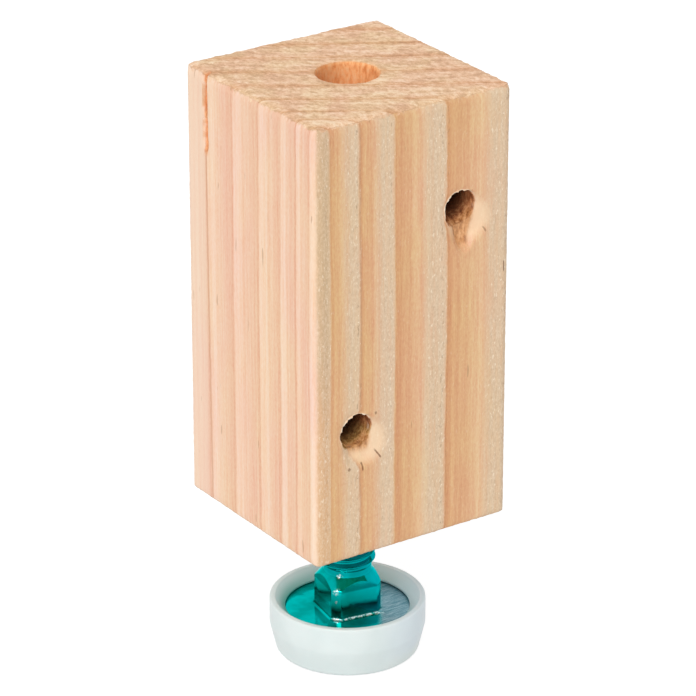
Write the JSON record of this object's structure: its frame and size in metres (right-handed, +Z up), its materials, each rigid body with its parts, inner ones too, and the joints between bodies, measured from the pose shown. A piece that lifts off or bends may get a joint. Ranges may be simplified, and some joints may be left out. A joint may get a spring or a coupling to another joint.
{
  "type": "adjustable plinth leg",
  "caption": "Square softwood block on a levelling screw with a round flange that turns in a white glide cup; a bore from the top lets a driver reach the screw.",
  "frame": {"origin": "centre of the glide cup's underside, where the leg stands on the floor", "axes": "+Z up along the levelling screw and the block's grain; -Y out of the face with the fixing holes' mouths"},
  "size_m": [0.04, 0.04, 0.1086],
  "materials": {
    "softwood": "sawn and planed, bare",
    "zinc_steel": "bright zinc plated",
    "teal_steel": "glossy blue-green plating",
    "white_plastic": "natural white, slightly translucent, satin"
  },
  "bodies": {
    "glide": {"glide_cup": "white_plastic"},
    "screw": {"levelling_screw": "teal_steel"},
    "block": {"wood_block": "softwood", "tee_nut": "zinc_steel"}
  },
  "joints": [
    {"name": "block_lift", "type": "slide", "parent": "glide", "child": "block", "axis": [0, 0, 1], "range_m": [-0.011, 0.025]},
    {"name": "screw_turn", "type": "hinge", "parent": "glide", "child": "screw", "pos_m": [0, 0, 0.0034], "axis": [0, 0, -1], "range_deg": [-2640.5, 6000.5]}
  ],
  "couplings": [
    {"joint": "screw_turn", "follows": "block_lift", "rad_per_m": 4188.8}
  ]
}
